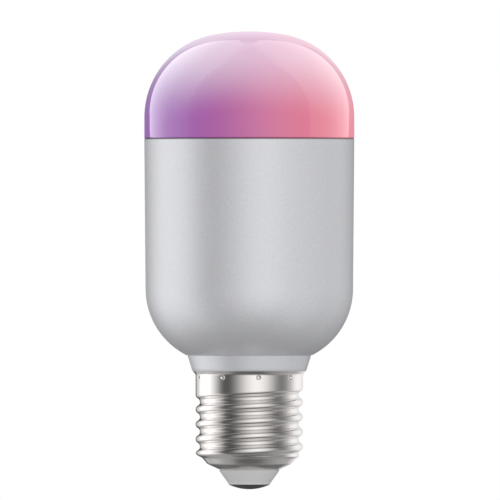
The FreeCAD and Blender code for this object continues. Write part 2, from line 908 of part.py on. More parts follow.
os.makedirs("parts", exist_ok=True)
white_leds = white_led_set()
colour_leds = colour_led_set()
nodes = {
    "centre_contact": centre_contact(),
    "cap_insulator": cap_insulator(),
    "screw_shell": screw_shell(),
    "neck_collar": neck_collar(),
    "neck_screws": neck_screws(),
    "body_shell": body_shell(),
    "diffuser_dome": diffuser_dome(),
    "dome_sealant": dome_sealant(),
    "heat_plate": heat_plate(),
    "thermal_pad": thermal_pad(),
    "led_board": led_board(),
    "board_screws": board_screws(),
    "white_leds": Part.Compound([body for body, pocket in white_leds]),
    "white_led_phosphor": Part.Compound([pocket for body, pocket in white_leds]),
    "colour_leds": Part.Compound([body for body, pocket in colour_leds]),
    "colour_led_lenses": Part.Compound([pocket for body, pocket in colour_leds]),
    "driver_sleeve": driver_sleeve(),
    "driver_board": driver_board(),
    "radio_module": radio_module(),
    "radio_shield": radio_shield(),
    "radio_antenna": radio_antenna(),
    "header_block": header_block(),
    "header_pins": header_pins(),
    "pin_solder": pin_solder(),
    "transformer_core": transformer_core(),
    "transformer_bobbin": transformer_bobbin(),
    "transformer_winding": transformer_winding(),
    "bulk_capacitor": bulk_capacitor(),
    "output_capacitor": output_capacitor(),
    "capacitor_leads": capacitor_leads(),
    "film_capacitor": film_capacitor(),
    "filter_inductor": filter_inductor(),
    "fuse_resistor": fuse_resistor(),
    "bridge_rectifier": bridge_rectifier(),
    "driver_chip": driver_chip(),
    "chip_resistors": chip_resistors(),
    "live_wire": live_wire(),
    "neutral_wire": neutral_wire(),
}
for name, shape in nodes.items():
    shape.exportStep("parts/" + name + ".step")
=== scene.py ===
import bpy
import json
import math
import numpy as np
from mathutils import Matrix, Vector


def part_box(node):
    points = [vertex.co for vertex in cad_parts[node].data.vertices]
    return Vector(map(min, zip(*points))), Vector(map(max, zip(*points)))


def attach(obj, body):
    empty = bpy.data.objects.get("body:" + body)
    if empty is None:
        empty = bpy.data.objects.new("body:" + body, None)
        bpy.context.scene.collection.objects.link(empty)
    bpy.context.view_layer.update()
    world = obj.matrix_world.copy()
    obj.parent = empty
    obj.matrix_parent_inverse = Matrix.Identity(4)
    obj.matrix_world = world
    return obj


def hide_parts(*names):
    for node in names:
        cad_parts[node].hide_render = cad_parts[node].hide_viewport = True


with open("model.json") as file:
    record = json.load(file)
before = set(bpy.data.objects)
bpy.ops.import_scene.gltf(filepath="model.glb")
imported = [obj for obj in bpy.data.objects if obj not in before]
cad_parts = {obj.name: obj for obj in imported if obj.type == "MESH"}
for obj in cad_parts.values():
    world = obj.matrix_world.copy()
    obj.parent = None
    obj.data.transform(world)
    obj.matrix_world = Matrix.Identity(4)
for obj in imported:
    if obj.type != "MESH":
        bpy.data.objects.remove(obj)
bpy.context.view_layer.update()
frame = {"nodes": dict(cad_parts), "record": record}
scene = bpy.context.scene
print("frame loaded")


# small helpers for meshes ---

def arcPoints(centre, radius, start, end, count):
    # points along an arc, angles in degrees, both ends included
    turns = [math.radians(start + (end - start) * k / count) for k in range(count + 1)]
    return [(centre[0] + radius * math.cos(t), centre[1] + radius * math.sin(t)) for t in turns]


def meshFrom(name, verts, faces, material, body="root", sharpAngle=32):
    mesh = bpy.data.meshes.new(name)
    mesh.from_pydata([tuple(map(float, v)) for v in verts], [], faces)
    mesh.update()
    mesh.shade_smooth()
    mesh.set_sharp_from_angle(angle=math.radians(sharpAngle))
    piece = bpy.data.objects.new(name, mesh)
    scene.collection.objects.link(piece)
    mesh.materials.append(material)
    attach(piece, body)
    return piece


def lathe(name, outline, material, segments=256):
    # a closed outline of (radius, height) turned about the axis; points on the axis become poles
    verts, faces, rings = [], [], []
    for radius, height in outline:
        if radius < 1e-7:
            rings.append([len(verts)] * segments)
            verts.append((0, 0, height))
        else:
            first = len(verts)
            rings.append([first + k for k in range(segments)])
            for k in range(segments):
                turn = 2 * math.pi * k / segments
                verts.append((radius * math.cos(turn), radius * math.sin(turn), height))
    for low, high in zip(rings, rings[1:] + rings[:1]):
        if low[0] == low[1] and high[0] == high[1]:
            continue
        for k in range(segments):
            n = (k + 1) % segments
            corners = [low[k], low[n], high[n], high[k]]
            face = [v for i, v in enumerate(corners) if v != corners[i - 1]]
            if len(face) > 2:
                faces.append(face)
    return meshFrom(name, verts, faces, material)


def cutAway(piece, cutters):
    # takes round or square holes out of a piece, then drops the cutters
    for cutter in cutters:
        trim = piece.modifiers.new("hole", "BOOLEAN")
        trim.operation = "DIFFERENCE"
        trim.solver = "EXACT"
        trim.object = cutter
    bpy.context.view_layer.update()
    shaped = piece.evaluated_get(bpy.context.evaluated_depsgraph_get())
    mesh = bpy.data.meshes.new_from_object(shaped)
    piece.modifiers.clear()
    piece.data = mesh
    mesh.set_sharp_from_angle(angle=math.radians(32))
    for cutter in cutters:
        bpy.data.objects.remove(cutter, do_unlink=True)


def holeCutter(radius, place, low, high):
    bpy.ops.mesh.primitive_cylinder_add(
        vertices=32, radius=radius, depth=high - low, location=(place[0], place[1], (low + high) / 2))
    return bpy.context.object


# node helpers ---

def newMaterial(name):
    material = bpy.data.materials.new(name)
    material.use_nodes = True
    nodes, links = material.node_tree.nodes, material.node_tree.links
    return material, nodes, links, nodes["Principled BSDF"]


def makeGroup(name, inputs, outputs):
    group = bpy.data.node_groups.new(name, "ShaderNodeTree")
    for label, kind, value in inputs:
        socket = group.interface.new_socket(label, in_out="INPUT", socket_type=kind)
        socket.default_value = value
    for label, kind in outputs:
        group.interface.new_socket(label, in_out="OUTPUT", socket_type=kind)
    return group, group.nodes.new("NodeGroupInput"), group.nodes.new("NodeGroupOutput")


def feed(tree, socket, value):
    # a number, a vector or the output of another node
    if isinstance(value, bpy.types.NodeSocket):
        tree.links.new(value, socket)
    else:
        socket.default_value = value


def mathNode(tree, operation, first, second=None):
    node = tree.nodes.new("ShaderNodeMath")
    node.operation = operation
    feed(tree, node.inputs[0], first)
    if second is not None:
        feed(tree, node.inputs[1], second)
    return node.outputs[0]


def rangeNode(tree, value, start, end, first=0.0, last=1.0, soft="SMOOTHSTEP"):
    node = tree.nodes.new("ShaderNodeMapRange")
    node.interpolation_type = soft
    for label, source in (("Value", value), ("From Min", start), ("From Max", end),
                          ("To Min", first), ("To Max", last)):
        feed(tree, node.inputs[label], source)
    return node.outputs["Result"]


def scaleNode(tree, color, amount):
    node = tree.nodes.new("ShaderNodeVectorMath")
    node.operation = "SCALE"
    feed(tree, node.inputs[0], color)
    feed(tree, node.inputs["Scale"], amount)
    return node.outputs[0]


def groupNode(tree, group, values):
    node = tree.nodes.new("ShaderNodeGroup")
    node.node_tree = group
    for label, value in values.items():
        feed(tree, node.inputs[label], value)
    return node.outputs


def splitNode(tree, vector):
    node = tree.nodes.new("ShaderNodeSeparateXYZ")
    tree.links.new(vector, node.inputs[0])
    return node.outputs


# grain: fine speckle in a paint, a moulding or blasted metal
def buildGrain():
    group, given, result = makeGroup(
        "grain",
        [("Color", "NodeSocketColor", (0.5, 0.5, 0.5, 1)), ("Size", "NodeSocketFloat", 3000),
         ("Speckle", "NodeSocketFloat", 0.05), ("Roughness", "NodeSocketFloat", 0.4),
         ("Spread", "NodeSocketFloat", 0.05)],
        [("Color", "NodeSocketColor"), ("Roughness", "NodeSocketFloat"), ("Height", "NodeSocketFloat")])
    place = group.nodes.new("ShaderNodeTexCoord")
    fine = group.nodes.new("ShaderNodeTexNoise")
    fine.inputs["Detail"].default_value = 3
    fine.inputs["Roughness"].default_value = 0.7
    group.links.new(place.outputs["Object"], fine.inputs["Vector"])
    group.links.new(given.outputs["Size"], fine.inputs["Scale"])
    centred = mathNode(group, "SUBTRACT", fine.outputs["Fac"], 0.5)
    amount = mathNode(group, "MULTIPLY", centred, given.outputs["Speckle"])
    bright = mathNode(group, "ADD", amount, 1.0)
    group.links.new(scaleNode(group, given.outputs["Color"], bright), result.inputs["Color"])
    spread = mathNode(group, "MULTIPLY", centred, given.outputs["Spread"])
    group.links.new(mathNode(group, "ADD", spread, given.outputs["Roughness"]), result.inputs["Roughness"])
    group.links.new(fine.outputs["Fac"], result.inputs["Height"])
    return group


grain = buildGrain()


# the groove between dome and body lies in shade
seam = {"darkStart": 0.00012, "reach": 0.00036, "darkest": 0.42}


def buildSeamShade():
    group, given, result = makeGroup("seamShade", [("Color", "NodeSocketColor", (0.5, 0.5, 0.5, 1))],
                                     [("Color", "NodeSocketColor")])
    place = splitNode(group, group.nodes.new("ShaderNodeTexCoord").outputs["Object"])
    away = mathNode(group, "ABSOLUTE", mathNode(group, "SUBTRACT", place["Z"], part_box("body_shell")[1].z))
    shade = rangeNode(group, away, seam["darkStart"], seam["reach"], first=seam["darkest"])
    group.links.new(scaleNode(group, given.outputs["Color"], shade), result.inputs["Color"])
    return group


seamShade = buildSeamShade()


# what a finish does where its entry leaves a number out
plainLook = {"metallic": 0.0, "spread": 0.05, "bump": 0.0, "bumpDepth": 0.00003}


def grainMaterial(name, look, seamed=False):
    look = {**plainLook, **look}
    material, nodes, links, shader = newMaterial(name)
    tree = material.node_tree
    effect = groupNode(tree, grain, {"Color": (*look["color"], 1), "Size": look["grainSize"],
                                     "Speckle": look["speckle"], "Roughness": look["roughness"],
                                     "Spread": look["spread"]})
    color = effect["Color"]
    if seamed:
        color = groupNode(tree, seamShade, {"Color": color})["Color"]
    links.new(color, shader.inputs["Base Color"])
    links.new(effect["Roughness"], shader.inputs["Roughness"])
    shader.inputs["Metallic"].default_value = look["metallic"]
    if look["bump"]:
        relief = nodes.new("ShaderNodeBump")
        relief.inputs["Strength"].default_value = look["bump"]
        relief.inputs["Distance"].default_value = look["bumpDepth"]
        links.new(effect["Height"], relief.inputs["Height"])
        links.new(relief.outputs["Normal"], shader.inputs["Normal"])
    return material


# diffuser dome ---

# colours lit by the LEDs at the foot of the dome and near its top, the pale top colours partly painted
# highlight over the LED glow: place from -X to +X, then colour
domeColors = {
    "foot": [(0.05, (0.30, 0.125, 0.42)), (0.25, (0.38, 0.13, 0.42)), (0.5, (0.50, 0.12, 0.31)),
             (0.75, (0.76, 0.205, 0.30)), (0.95, (0.80, 0.24, 0.31))],
    "top": [(0.0, (0.25, 0.14, 0.36)), (0.14, (0.62, 0.51, 0.68)), (0.3, (0.75, 0.595, 0.735)),
            (0.5, (0.78, 0.54, 0.71)), (0.7, (0.85, 0.56, 0.69)), (0.9, (0.83, 0.52, 0.59)),
            (1.0, (0.72, 0.36, 0.42))],
}
domeLook = {
    "fadeStart": 0.215,                  # shares of the dome's height where the colours turn pale, partly into painted highlight
    "fadeEnd": 0.86,
    "bow": 7.0,                          # how much sooner they pale to the sides, 1/m
    "glow": 0.83,
    "milk": 0.22,                        # how much studio light the opal takes
    "gloss": 0.03,
    "refraction": 1.55,
    "grainSize": 1500,
    "speckle": 0.09,
}
domeSize = {"corner": 0.0205, "crown": 0.048, "straight": 0.0052, "wall": 0.0015, "skirtWall": 0.0012,
            "chamfer": 0.00025, "seatWall": 0.0014, "fit": 0.0001, "beadDrop": 0.0029, "beadWidth": 0.001,
            "beadHeight": 0.0004, "rimLand": 0.002}


def domeMaterial():
    material, nodes, links, shader = newMaterial("litOpal")
    low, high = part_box("diffuser_dome")
    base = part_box("body_shell")[1].z
    tree = material.node_tree
    place = splitNode(tree, nodes.new("ShaderNodeTexCoord").outputs["Object"])

    def ramp(stops, value):
        node = nodes.new("ShaderNodeValToRGB")
        node.color_ramp.interpolation = "B_SPLINE"
        elements = node.color_ramp.elements
        elements[0].position, elements[0].color = stops[0][0], (*stops[0][1], 1)
        elements[1].position, elements[1].color = stops[-1][0], (*stops[-1][1], 1)
        for position, color in stops[1:-1]:
            elements.new(position).color = (*color, 1)
        links.new(value, node.inputs["Fac"])
        return node.outputs["Color"]

    across = rangeNode(tree, place["X"], low.x, high.x, soft="LINEAR")
    tall = high.z - base
    bow = mathNode(tree, "MULTIPLY", mathNode(tree, "POWER", place["X"], 2), domeLook["bow"])
    rise = rangeNode(tree, mathNode(tree, "ADD", place["Z"], bow), base + domeLook["fadeStart"] * tall,
                     base + domeLook["fadeEnd"] * tall)
    # the lit foot colours turn into the pale top colours, which are partly a painted highlight
    pale = nodes.new("ShaderNodeMix")
    pale.data_type = "RGBA"
    links.new(rise, pale.inputs["Factor"])
    links.new(ramp(domeColors["foot"], across), pale.inputs["A"])
    links.new(ramp(domeColors["top"], across), pale.inputs["B"])
    shaded = groupNode(tree, seamShade, {"Color": pale.outputs["Result"]})
    glowing = groupNode(tree, grain, {"Color": shaded["Color"], "Size": domeLook["grainSize"],
                                      "Speckle": domeLook["speckle"]})["Color"]
    links.new(scaleNode(tree, glowing, domeLook["milk"]), shader.inputs["Base Color"])
    links.new(glowing, shader.inputs["Emission Color"])
    shader.inputs["Emission Strength"].default_value = domeLook["glow"]
    shader.inputs["Roughness"].default_value = domeLook["gloss"]
    shader.inputs["IOR"].default_value = domeLook["refraction"]
    return material


def buildDome():
    size = domeSize
    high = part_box("diffuser_dome")[1]
    radius = high.x
    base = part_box("body_shell")[1].z
    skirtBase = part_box("diffuser_dome")[0].z
    spring = base + size["straight"]
    side = radius - size["corner"]
    crownCentre = spring - math.sqrt((size["crown"] - size["corner"]) ** 2 - side ** 2)
    lean = math.degrees(math.atan2(spring - crownCentre, side))
    skirt = radius - size["seatWall"] - size["fit"]
    bore = skirt - size["skirtWall"]
    wall = size["wall"]
    bead = base - size["beadDrop"]
    half = size["beadWidth"] / 2
    bulge = size["beadHeight"]
    outline = arcPoints((0, crownCentre), size["crown"] - wall, 90, lean, 24)
    outline[0] = (0, outline[0][1])
    outline += arcPoints((side, spring), size["corner"] - wall, lean, 0, 40)[1:]
    outline += [(radius - wall, base + wall + size["skirtWall"]), (bore, base + wall), (bore, skirtBase),
                (skirt, skirtBase), (skirt, bead - half), (skirt + bulge, bead - half + bulge / 2),
                (skirt + bulge, bead + half - bulge / 2), (skirt, bead + half), (skirt, base),
                (radius - size["chamfer"], base)]
    edge = arcPoints((radius - size["chamfer"], base + size["chamfer"]), size["chamfer"], -90, 0, 5)
    outline += edge[1:] + [(radius, base + size["rimLand"])]
    outer = arcPoints((side, spring), size["corner"], 0, lean, 64)
    outer += arcPoints((0, crownCentre), size["crown"], lean, 90, 40)[1:]
    outer[-1] = (0, outer[-1][1])
    outline += outer
    dome = lathe("diffuserDome", outline, domeMaterial(), 320)
    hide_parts("diffuser_dome")


# body shell ---

bodyLook = {"color": (0.90, 0.906, 0.942), "metallic": 0.42, "roughness": 0.42, "grainSize": 2600,
            "speckle": 0.30, "spread": 0.12, "bump": 0.25}
bodySize = {"shoulder": 0.01825, "taper": 0.0003, "wall": 0.002, "seatWall": 0.0014, "chamfer": 0.00025,
            "footStep": 0.0003, "footInset": 0.0002, "mouth": 0.01045, "wallSteps": 12, "holeRadius": 0.001,
            "seatTaper": 0.6, "margin": 0.001}


def screwPlaces(node):
    # middles of a node's three screws, worked out from the box around them
    low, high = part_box(node)
    reach = -low.y
    head = (high.x - reach * math.cos(math.radians(30))) / (1 - math.cos(math.radians(30)))
    circle = reach - head
    return [(circle * math.cos(math.radians(a)), circle * math.sin(math.radians(a))) for a in (30, 150, 270)]


def buildBody(paint):
    size = bodySize
    low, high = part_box("body_shell")
    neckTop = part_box("neck_collar")[1]
    foot = neckTop.x + size["footStep"]
    waist = high.x - size["taper"]
    side = waist - size["shoulder"]
    waistHeight = low.z + math.sqrt(size["shoulder"] ** 2 - (foot - side) ** 2)
    start = math.degrees(math.atan2(low.z - waistHeight, foot - side))
    inner = size["shoulder"] - size["wall"]
    floor = neckTop.z
    floorTurn = math.degrees(math.asin((floor - waistHeight) / inner))
    bore = high.x - size["seatWall"]
    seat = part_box("heat_plate")[0].z
    outline = [(size["mouth"], low.z), (foot - size["footInset"], low.z)]
    outline += arcPoints((side, waistHeight), size["shoulder"], start, 0, 48)
    for k in range(1, size["wallSteps"] + 1):
        share = k / size["wallSteps"]
        outline.append((waist + size["taper"] * share,
                        waistHeight + (high.z - size["chamfer"] - waistHeight) * share))
    outline += arcPoints((high.x - size["chamfer"], high.z - size["chamfer"]), size["chamfer"], 0, 90, 5)[1:]
    innerWaist = waist - size["wall"] + size["taper"] * size["seatTaper"]
    outline += [(bore, high.z), (bore, seat), (innerWaist, seat)]
    outline += arcPoints((side, waistHeight), inner, 0, floorTurn, 24)
    outline.append((size["mouth"], floor))
    body = lathe("bodyShell", outline, paint, 288)
    cutAway(body, [holeCutter(size["holeRadius"], place, low.z - size["margin"], floor + size["margin"])
                   for place in screwPlaces("neck_screws")])
    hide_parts("body_shell")


# neck collar ---

neckLook = {"color": (0.905, 0.911, 0.947), "metallic": 0.42, "roughness": 0.43, "grainSize": 2600,
            "speckle": 0.22, "spread": 0.08, "bump": 0.2}
neckSize = {"footRadius": 0.01395, "spigot": 0.011685, "bandSpigot": 0.01275, "bore": 0.010185,
            "bandDepth": 0.0028, "ledge": 0.008, "ledgeRise": 0.0005, "ledgeDepth": 0.001,
            "sleeveBore": 0.0095, "ring": 0.0104, "bumpGroove": 0.0123, "bumpDrop": 0.00155,
            "bumpHalf": 0.00095, "slotWidth": 0.0016, "slotDepth": 0.001, "slotLength": 0.007,
            "bumpFlat": 0.0005, "edge": 0.0001, "lip": 0.00003, "lipInset": 0.00015, "flareSteps": 8,
            "screwHole": 0.00091, "margin": 0.001}


def buildNeck(paint):
    size = neckSize
    low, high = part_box("neck_collar")
    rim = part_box("screw_shell")[1].z
    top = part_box("body_shell")[0].z
    bump = rim - size["bumpDrop"]
    ledge = rim + size["ledgeRise"]
    outline = [
        (size["bore"], low.z), (size["spigot"], low.z), (size["spigot"], rim - size["bandDepth"]),
        (size["bandSpigot"], rim - size["bandDepth"]), (size["bandSpigot"], bump - size["bumpHalf"]),
        (size["bumpGroove"], bump - size["bumpFlat"]), (size["bumpGroove"], bump + size["bumpFlat"]),
        (size["bandSpigot"], bump + size["bumpHalf"]), (size["bandSpigot"], rim),
        (size["footRadius"] - size["edge"], rim), (size["footRadius"], rim + size["edge"])]
    flare = high.x - size["footRadius"]
    for k in range(1, size["flareSteps"]):
        share = k / size["flareSteps"]
        outline.append((size["footRadius"] + flare * share, rim + (top - rim) * share))
    outline += [(high.x - size["lip"], top - size["edge"]), (high.x - size["lipInset"], top),
                (size["ring"], top), (size["ring"], high.z), (size["sleeveBore"], high.z),
                (size["sleeveBore"], ledge), (size["ledge"], ledge),
                (size["ledge"], ledge - size["ledgeDepth"]), (size["bore"], ledge - size["ledgeDepth"])]
    collar = lathe("neckCollar", outline, paint, 256)
    bpy.ops.mesh.primitive_cube_add(size=1)
    slot = bpy.context.object
    slot.scale = (size["slotWidth"], 2 * size["slotDepth"], size["slotLength"] + size["margin"])
    slot.location = (0, size["spigot"], low.z + (size["slotLength"] - size["margin"]) / 2)
    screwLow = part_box("neck_screws")[0].z
    cutters = [holeCutter(size["screwHole"], place, screwLow, top + size["margin"])
               for place in screwPlaces("neck_screws")]
    cutAway(collar, cutters + [slot])
    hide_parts("neck_collar")


# screw shell with its rolled thread ---

shellLook = {"color": (0.80, 0.77, 0.755), "metallic": 1.0, "roughness": 0.16, "grainSize": 900,
             "speckle": 0.04, "spread": 0.06}
shellSize = {"hole": 0.0075, "foot": 0.0103, "footRise": 0.00127, "step": 0.0115, "stepRise": 0.00143,
             "shoulderRise": 0.00088, "crest": 0.01315, "pitch": 0.003629, "depth": 0.001065,
             "threadDrop": 0.0058, "rimRise": 0.00085, "rimInset": 0.0013, "footBend": 0.0012,
             "stepBend": 0.0015, "rimBend": 0.0008, "sheet": 0.0003, "blend": 0.0003, "inward": 0.8,
             "runIn": 0.25, "runOut": 0.4, "dimples": 9, "dimpleTurn": 10, "dimpleDrop": 0.00155,
             "dimpleRadius": 0.0006, "dimpleDepth": 0.00042, "dimpleEdge": 0.00032, "segments": 480,
             "threadRings": 170}


def sheetPath(corners, bends, counts, depth):
    # points along bent sheet, at a depth below its outer face
    points = [Vector(c) for c in corners]
    runs = [(b - a).normalized() for a, b in zip(points, points[1:])]
    inward = [Vector((-r.y, r.x)) for r in runs]
    stops = [points[0] + inward[0] * depth]
    path = []

    def straight(a, b, count):
        path.extend(a + (b - a) * k / count for k in range(count))

    for k, bend in enumerate(bends):
        before, after = runs[k], runs[k + 1]
        both = inward[k] + inward[k + 1]
        corner = points[k + 1] + both * (2 * depth / both.dot(both))
        turn = before.x * after.y - before.y * after.x
        radius = bend - depth if turn > 0 else bend + depth
        half = before.angle(after) / 2
        leave, arrive = corner - before * radius * math.tan(half), corner + after * radius * math.tan(half)
        centre = corner + (after - before).normalized() * radius / math.cos(half)
        straight(stops[-1], leave, counts[k])
        first = math.atan2(leave.y - centre.y, leave.x - centre.x)
        swing = 2 * half if turn > 0 else -2 * half
        for j in range(10):
            angle = first + swing * j / 10
            path.append(centre + Vector((math.cos(angle), math.sin(angle))) * radius)
        stops.append(arrive)
    straight(stops[-1], points[-1] + inward[-1] * depth, counts[-1])
    path.append(points[-1] + inward[-1] * depth)
    return np.array([tuple(p) for p in path])


def threadDepth(distance, depth, size):
    # depth of the rolled groove at an axial distance from its centre, both as arrays
    rounding = (size["pitch"] ** 2 / 4 + size["depth"] ** 2) / (4 * size["depth"])
    root, tip = rounding + depth, rounding - depth
    distance = np.abs(distance)
    hollow = size["depth"] - rounding + np.sqrt(np.maximum(root ** 2 - distance ** 2, 0)) - depth
    crest = tip - np.sqrt(np.maximum(tip ** 2 - (size["pitch"] / 2 - distance) ** 2, 0))
    return np.where(distance < root * size["pitch"] / 4 / rounding, hollow, crest)


def easeIn(share):
    share = np.clip(share, 0, 1)
    return share * share * (3 - 2 * share)


def buildShell():
    size = shellSize
    low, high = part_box("screw_shell")
    rim = high.z
    crestRise = low.z + size["footRise"] + size["stepRise"] + size["shoulderRise"]
    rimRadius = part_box("neck_collar")[1].x - size["rimInset"]
    corners = [(size["hole"], low.z), (size["foot"], low.z + size["footRise"]),
               (size["step"], low.z + size["footRise"] + size["stepRise"]), (size["crest"], crestRise),
               (size["crest"], rim - size["rimRise"]), (rimRadius, rim)]
    rounding = (size["pitch"] ** 2 / 4 + size["depth"] ** 2) / (4 * size["depth"])
    bends = [size["footBend"], size["stepBend"], rounding, size["rimBend"]]
    counts = [10, 8, 6, size["threadRings"], 6]
    firstGroove = rim - size["threadDrop"]
    firstEdge = firstGroove + (size["runIn"] + 0.5) * size["pitch"]
    turns = math.ceil((firstEdge - low.z) / size["pitch"]) - 1
    lastTurn = turns - size["runIn"]
    angles = 2 * np.pi * np.arange(size["segments"]) / size["segments"]
    sides = []
    for depth in (0, size["sheet"]):
        path = sheetPath(corners, bends, counts, depth)
        radius = np.repeat(path[:, 0:1], size["segments"], axis=1)
        height = np.repeat(path[:, 1:2], size["segments"], axis=1)
        start = np.mod(-angles / (2 * np.pi) + size["runIn"], 1) - size["runIn"]
        place = (firstGroove - height) / size["pitch"] - start
        nearest = np.maximum(np.round(place), 0)
        turn = start + nearest
        fade = easeIn((turn + size["runIn"]) / size["runIn"]) * easeIn((lastTurn - turn) / size["runOut"])
        away = np.clip(np.abs(place - nearest), 0, 0.5) * size["pitch"]
        barrel = size["crest"] - depth
        rolled = barrel - threadDepth(away, depth, size) * fade
        soft = np.clip((barrel - radius) * size["inward"], 1e-9, size["blend"])
        meet = np.clip(soft - np.abs(rolled - radius), 0, None) / soft
        foot = np.minimum(radius, rolled) - meet ** 2 * soft / 4
        radius = np.where(height < crestRise + rounding, foot, radius - (barrel - rolled))
        for k in range(size["dimples"]):
            centre = math.radians(size["dimpleTurn"] - 90 + 360 * k / size["dimples"])
            offset = np.abs(np.mod(angles - centre + np.pi, 2 * np.pi) - np.pi) * size["crest"]
            near = np.hypot(offset, height - (rim - size["dimpleDrop"]))
            reach = size["dimpleRadius"] + depth * size["inward"]
            radius = radius - size["dimpleDepth"] * easeIn((reach - near) / size["dimpleEdge"])
        sides.append((radius, height))
    # outer side up, inner side back down
    radius = np.vstack([sides[0][0], sides[1][0][::-1]])
    height = np.vstack([sides[0][1], sides[1][1][::-1]])
    height = np.minimum(height, rim)
    x, y = radius * np.cos(angles), radius * np.sin(angles)
    verts = np.stack([x, y, height], axis=-1).reshape(-1, 3)
    rings, segments = radius.shape
    index = np.arange(rings * segments).reshape(rings, segments)
    after = np.roll(index, -1, axis=1)
    above, aboveAfter = np.roll(index, -1, axis=0), np.roll(after, -1, axis=0)
    faces = np.stack([index, after, aboveAfter, above], axis=-1).reshape(-1, 4).tolist()
    material = grainMaterial("polishedNickel", shellLook)
    shell = meshFrom("screwShell", verts, faces, material, sharpAngle=50)
    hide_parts("screw_shell")


# insulator and centre contact ---

insulatorLook = {"color": (0.90, 0.90, 0.895), "roughness": 0.45, "grainSize": 2500, "speckle": 0.06,
                 "spread": 0.05, "bump": 0.1}
insulatorSize = {"fit": 0.0001, "rim": 0.00025, "bore": 0.0013, "core": 0.003, "collarInset": 0.0002,
                 "collarRise": 0.0006, "flangeRise": 0.0016, "flangeTop": 0.003, "coneSteps": 6}
contactLook = {"color": (0.125, 0.125, 0.127), "metallic": 0.6, "roughness": 0.38, "grainSize": 2200,
               "speckle": 0.1, "spread": 0.08}
contactSize = {"edge": 0.00006, "chamfer": 0.00005, "stem": 0.0012}


def buildInsulator():
    size = insulatorSize
    low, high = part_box("cap_insulator")
    neck = shellSize["hole"] - size["fit"]
    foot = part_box("centre_contact")[1].x + size["fit"] / 2
    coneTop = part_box("screw_shell")[0].z - size["fit"]
    rim, collar = size["rim"], neck - size["collarInset"]
    outline = [(size["bore"], low.z), (foot - rim, low.z)]
    outline += arcPoints((foot - rim, low.z + rim), rim, -90, 0, 5)[1:]
    for k in range(1, size["coneSteps"]):
        share = k / size["coneSteps"]
        outline.append((foot + (neck - foot) * share, low.z + rim + (coneTop - rim - low.z - rim) * share))
    outline += arcPoints((neck - rim, coneTop - rim), rim, 20, 70, 4)
    outline += [(collar, coneTop + size["collarInset"]), (collar, coneTop + size["collarRise"]),
                (high.x, coneTop + size["flangeRise"]), (high.x, coneTop + size["flangeTop"]),
                (size["core"], coneTop + size["flangeTop"]), (size["core"], high.z), (size["bore"], high.z)]
    piece = lathe("capInsulator", outline, grainMaterial("capInsulator", insulatorLook), 192)
    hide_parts("cap_insulator")


def buildContact():
    size = contactSize
    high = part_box("centre_contact")[1]
    radius = high.x
    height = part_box("cap_insulator")[0].z
    ball = (radius ** 2 + height ** 2) / (2 * height)
    turn = math.degrees(math.asin(radius / ball))
    outline = [(0, 0)] + arcPoints((0, ball), ball, -90, -90 + turn, 24)[1:]
    outline[-1] = (radius - size["edge"], outline[-1][1] - size["edge"])
    outline += [(radius, height - size["edge"] / 2), (radius - size["chamfer"], height),
                (size["stem"], height), (size["stem"], high.z), (0, high.z)]
    piece = lathe("centreContact", outline, grainMaterial("contactMetal", contactLook), 192)
    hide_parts("centre_contact")


# pieces inside ---

# colour, roughness, metallic, grain size and speckle of each finish inside the bulb
insideLook = {
    "zinc": ((0.62, 0.62, 0.60), 0.35, 1.0, 2500, 0.08),
    "sealant": ((0.82, 0.82, 0.80), 0.55, 0.0, 1500, 0.04),
    "aluminium": ((0.72, 0.73, 0.74), 0.42, 1.0, 1800, 0.08),
    "thermal_silicone": ((0.35, 0.42, 0.55), 0.65, 0.0, 1200, 0.06),
    "white_board": ((0.85, 0.85, 0.83), 0.40, 0.0, 2400, 0.03),
    "led_body": ((0.88, 0.88, 0.85), 0.35, 0.0, 2600, 0.03),
    "phosphor": ((0.88, 0.66, 0.12), 0.55, 0.0, 4000, 0.12),
    "lens": ((0.80, 0.78, 0.88), 0.10, 0.0, 1000, 0.02),
    "sleeve_plastic": ((0.82, 0.82, 0.79), 0.45, 0.0, 2000, 0.04),
    "green_board": ((0.03, 0.20, 0.07), 0.35, 0.0, 1600, 0.15),
    "blue_board": ((0.02, 0.06, 0.22), 0.35, 0.0, 1600, 0.15),
    "tin": ((0.70, 0.70, 0.69), 0.28, 1.0, 2200, 0.08),
    "gold": ((0.83, 0.60, 0.22), 0.22, 1.0, 2200, 0.06),
    "black_plastic": ((0.025, 0.025, 0.028), 0.40, 0.0, 2400, 0.15),
    "solder": ((0.62, 0.63, 0.64), 0.25, 1.0, 2600, 0.10),
    "ferrite": ((0.06, 0.06, 0.065), 0.60, 0.1, 3000, 0.25),
    "bobbin_plastic": ((0.05, 0.05, 0.05), 0.45, 0.0, 2400, 0.10),
    "winding_tape": ((0.85, 0.62, 0.06), 0.30, 0.0, 900, 0.06),
    "can_sleeve": ((0.02, 0.03, 0.06), 0.28, 0.0, 1400, 0.10),
    "film_yellow": ((0.62, 0.40, 0.03), 0.35, 0.0, 1800, 0.08),
    "shrink_tube": ((0.03, 0.03, 0.033), 0.50, 0.0, 1500, 0.12),
    "fuse_lacquer": ((0.16, 0.28, 0.14), 0.35, 0.0, 2000, 0.10),
    "chip_ceramic": ((0.03, 0.03, 0.03), 0.45, 0.0, 3000, 0.15),
    "red_wire": ((0.42, 0.015, 0.012), 0.35, 0.0, 1600, 0.05),
    "blue_wire": ((0.02, 0.05, 0.30), 0.35, 0.0, 1600, 0.05),
}


def dressInside():
    made = {}
    for part in frame["record"]["subparts"]:
        slotName = part["material_slot"]
        if slotName not in insideLook:
            continue
        if slotName not in made:
            labels = ("color", "roughness", "metallic", "grainSize", "speckle")
            made[slotName] = grainMaterial(slotName, dict(zip(labels, insideLook[slotName])))
        node = frame["nodes"][part["node"]]
        node.data.materials.clear()
        node.data.materials.append(made[slotName])


# floor, lights and camera ---

